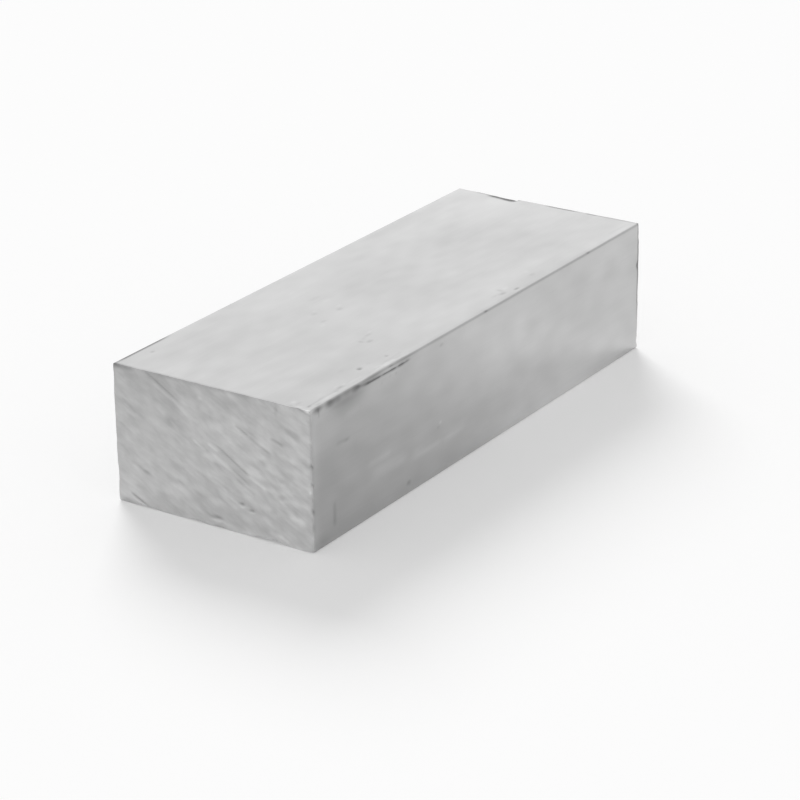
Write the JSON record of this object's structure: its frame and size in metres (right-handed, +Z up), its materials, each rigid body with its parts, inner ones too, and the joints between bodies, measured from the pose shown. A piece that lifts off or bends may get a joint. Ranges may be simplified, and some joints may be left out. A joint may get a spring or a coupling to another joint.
{
  "type": "aluminium flat bar",
  "caption": "Short sawn length of solid rectangular aluminium flat bar with a plain mill finish, raw stock for machining or fabrication.",
  "frame": {"origin": "middle of the underside, on the surface the bar lies on", "axes": "+X along the bar, from the end with the worn edge to the end with the chipped edge; +Y across its width, with the worn edge on the -Y side; +Z up"},
  "size_m": [0.107, 0.04, 0.025],
  "materials": {
    "mill_aluminium": "satin mill finish, with sawn ends"
  },
  "bodies": {
    "root": {"flat_bar": "mill_aluminium"}
  },
  "joints": []
}
